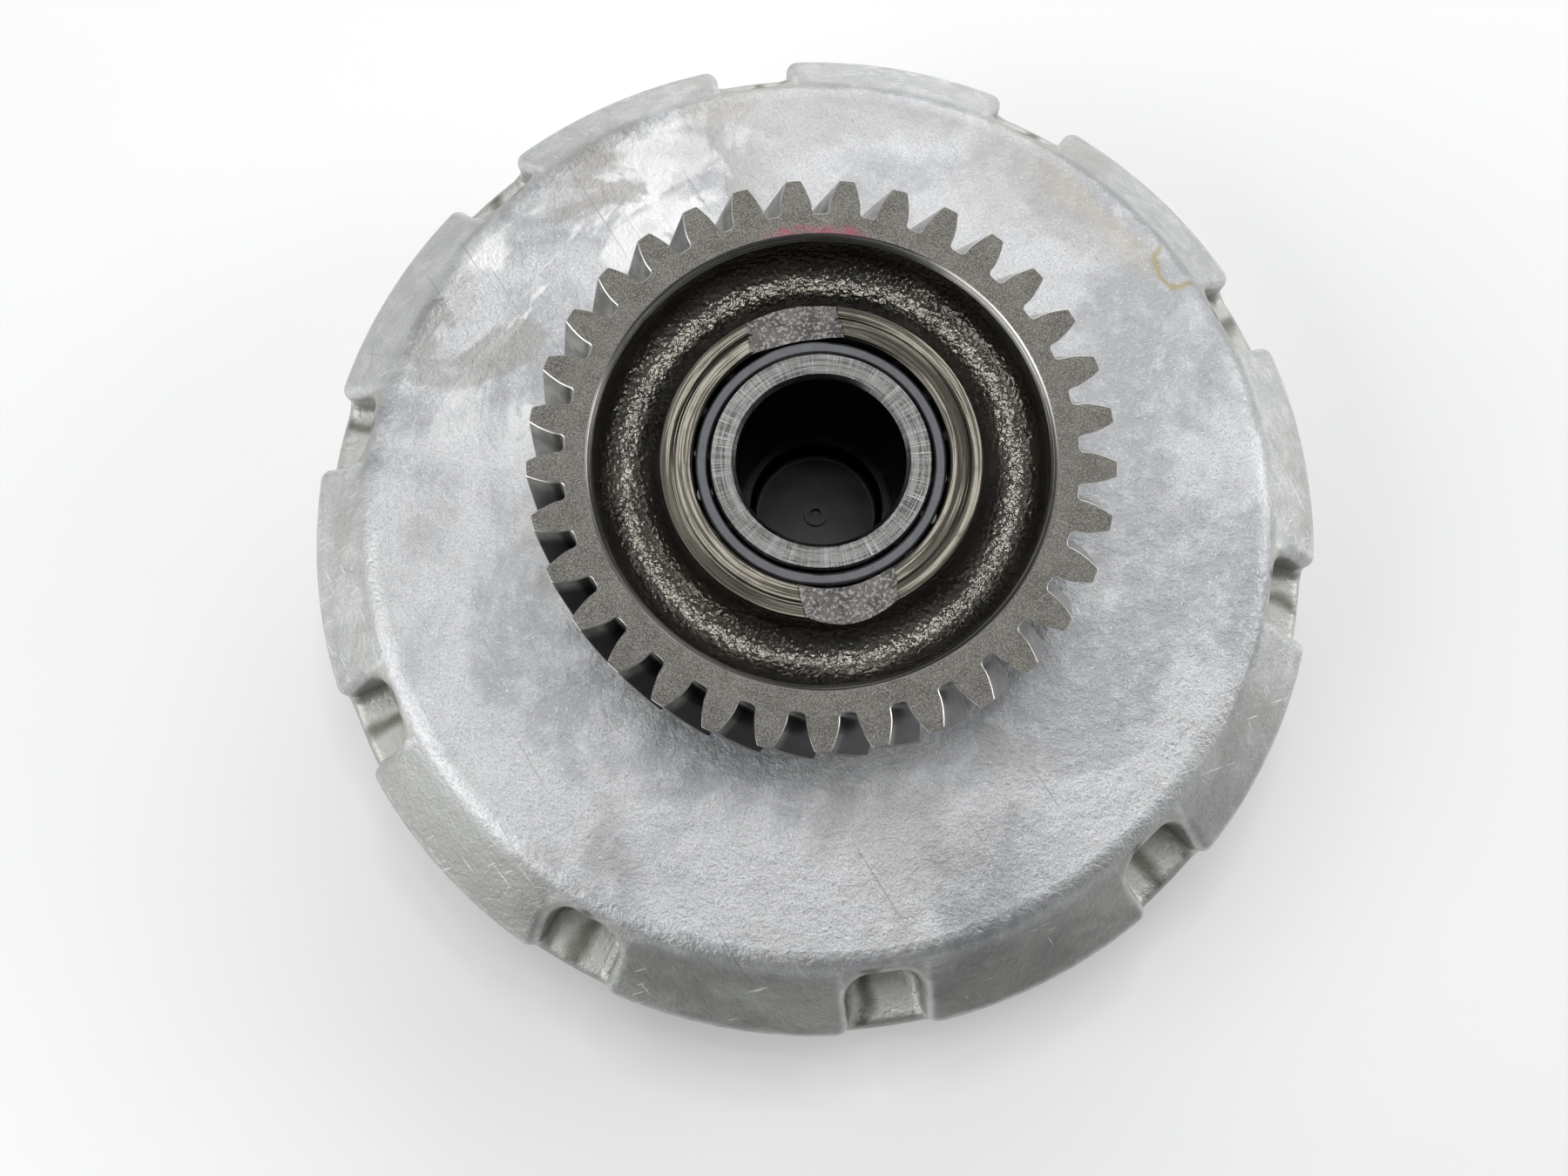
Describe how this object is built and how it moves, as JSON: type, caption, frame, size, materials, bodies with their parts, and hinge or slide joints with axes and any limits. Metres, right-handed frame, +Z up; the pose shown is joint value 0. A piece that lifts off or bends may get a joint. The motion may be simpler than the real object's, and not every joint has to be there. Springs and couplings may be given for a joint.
{
  "type": "planetary gear set",
  "caption": "Helical input gear on a needle-borne hub over a notched cast drum that encloses sun, planets, internal ring gear and a carrier with a hollow centre shaft.",
  "frame": {"origin": "centre of the drum's base, on the gear axis", "axes": "+Z up along the gear axis, towards the helical input gear; +X towards the first planet"},
  "size_m": [0.209, 0.209, 0.088],
  "materials": {
    "cast_aluminium": "mottled, fine grain",
    "gear_steel": "dark oiled forging with ground teeth",
    "ground_steel": "ground and turned",
    "hardened_steel": "ground",
    "bearing_steel": "polished",
    "dark_cage": "black oxide",
    "bronze": "turned bronze",
    "plug_steel": "pressed, oily",
    "fastener_steel": "black oxide",
    "spring_steel": "spring temper"
  },
  "bodies": {
    "drum": {"drum_housing": "cast_aluminium", "drum_cover": "cast_aluminium", "ring_gear": "hardened_steel", "ring_gear_dowels": "bearing_steel", "ring_gear_snap_ring": "spring_steel", "cover_screws": "fastener_steel", "bearing_outer_race": "bearing_steel", "bearing_snap_ring": "spring_steel", "front_bush": "bronze", "front_thrust_washer": "bronze"},
    "carrier": {"carrier_shaft": "ground_steel", "carrier_front_plate": "hardened_steel", "carrier_screws": "fastener_steel", "planet_pins": "hardened_steel", "planet_thrust_washers": "bronze", "sun_thrust_washers": "bronze", "bore_plug": "plug_steel", "bearing_inner_race": "bearing_steel", "bearing_shaft_ring": "spring_steel"},
    "input": {"input_gear": "gear_steel", "input_hub": "gear_steel", "sun_gear": "hardened_steel", "sun_keys": "bearing_steel", "sun_snap_ring": "spring_steel"},
    "planet_1": {"planet_gear_1": "hardened_steel", "planet_bush_1": "bronze"},
    "planet_2": {"planet_gear_2": "hardened_steel", "planet_bush_2": "bronze"},
    "planet_3": {"planet_gear_3": "hardened_steel", "planet_bush_3": "bronze"},
    "planet_4": {"planet_gear_4": "hardened_steel", "planet_bush_4": "bronze"},
    "upper_needles": {"upper_needle_cage": "dark_cage", "upper_needle_rollers": "bearing_steel"},
    "lower_needles": {"lower_needle_cage": "dark_cage", "lower_needle_rollers": "bearing_steel"},
    "ball_row": {"bearing_balls": "bearing_steel", "bearing_cage": "bronze"}
  },
  "joints": [
    {"name": "carrier_spin", "type": "hinge", "parent": "drum", "child": "carrier", "pos_m": [0, 0, 0], "axis": [0, 0, 1], "continuous": true},
    {"name": "input_spin", "type": "hinge", "parent": "drum", "child": "input", "pos_m": [0, 0, 0], "axis": [0, 0, 1], "continuous": true},
    {"name": "planet_1_spin", "type": "hinge", "parent": "carrier", "child": "planet_1", "pos_m": [0.05625, 0, 0], "axis": [0, 0, 1], "continuous": true},
    {"name": "planet_2_spin", "type": "hinge", "parent": "carrier", "child": "planet_2", "pos_m": [0, 0.05625, 0], "axis": [0, 0, 1], "continuous": true},
    {"name": "planet_3_spin", "type": "hinge", "parent": "carrier", "child": "planet_3", "pos_m": [-0.05625, 0, 0], "axis": [0, 0, 1], "continuous": true},
    {"name": "planet_4_spin", "type": "hinge", "parent": "carrier", "child": "planet_4", "pos_m": [0, -0.05625, 0], "axis": [0, 0, 1], "continuous": true},
    {"name": "upper_needles_spin", "type": "hinge", "parent": "carrier", "child": "upper_needles", "pos_m": [0, 0, 0], "axis": [0, 0, 1], "continuous": true},
    {"name": "lower_needles_spin", "type": "hinge", "parent": "carrier", "child": "lower_needles", "pos_m": [0, 0, 0], "axis": [0, 0, 1], "continuous": true},
    {"name": "ball_row_spin", "type": "hinge", "parent": "drum", "child": "ball_row", "pos_m": [0, 0, 0], "axis": [0, 0, 1], "continuous": true}
  ],
  "couplings": [
    {"joint": "input_spin", "follows": "carrier_spin", "ratio": 3.3333},
    {"joint": "planet_1_spin", "follows": "carrier_spin", "ratio": -3.5},
    {"joint": "planet_2_spin", "follows": "carrier_spin", "ratio": -3.5},
    {"joint": "planet_3_spin", "follows": "carrier_spin", "ratio": -3.5},
    {"joint": "planet_4_spin", "follows": "carrier_spin", "ratio": -3.5},
    {"joint": "upper_needles_spin", "follows": "carrier_spin", "ratio": 1.2481},
    {"joint": "lower_needles_spin", "follows": "carrier_spin", "ratio": 1.2481},
    {"joint": "ball_row_spin", "follows": "carrier_spin", "ratio": 0.4622}
  ]
}
